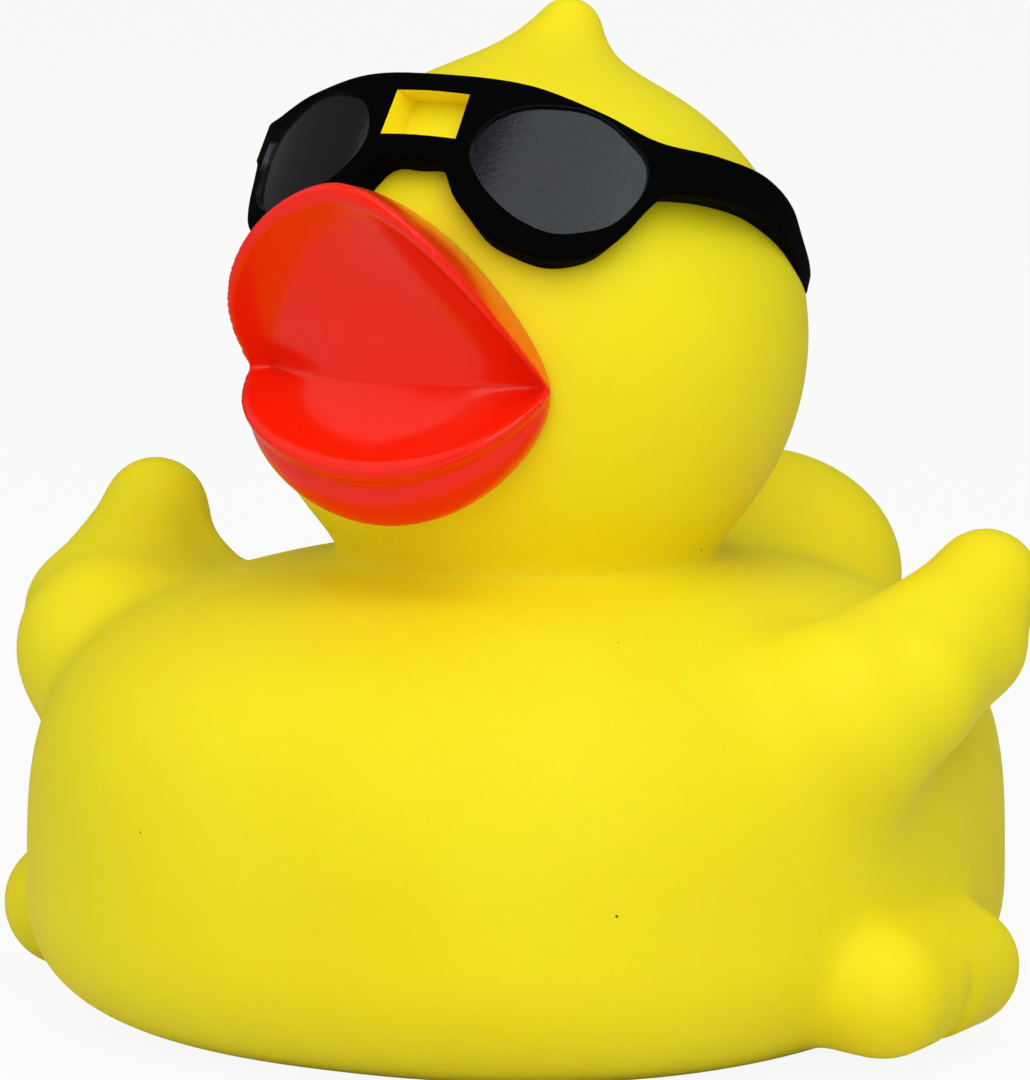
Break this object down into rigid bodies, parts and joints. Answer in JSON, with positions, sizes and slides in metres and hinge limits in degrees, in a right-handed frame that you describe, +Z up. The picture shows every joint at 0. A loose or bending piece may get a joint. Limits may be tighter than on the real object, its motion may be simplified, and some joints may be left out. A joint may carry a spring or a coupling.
{
  "type": "rubber duck",
  "caption": "Hollow moulded vinyl bath duck with raised wings, flared bill and moulded sunglasses, and a squeaker pressed into its flat base.",
  "frame": {"origin": "middle of the flat base, on the surface that the duck stands on", "axes": "+Z up, the duck faces -Y, its own left side is +X"},
  "size_m": [0.0987, 0.1003, 0.0924],
  "materials": {
    "yellow_vinyl": "satin moulded soft vinyl, the bill and sunglasses sprayed on",
    "bill_paint": "orange-red vinyl paint sprayed on the moulded bill, half gloss, thinner and more orange at its edges",
    "sunglasses_paint": "black vinyl paint sprayed on the moulded sunglasses, glossy on the lenses",
    "white_plastic": "plain moulded",
    "reed_film": "thin stiff film"
  },
  "bodies": {
    "root": {"duck_skin": "yellow_vinyl", "squeaker_cup": "white_plastic", "squeaker_cap": "white_plastic", "squeaker_reed": "reed_film"}
  },
  "joints": []
}
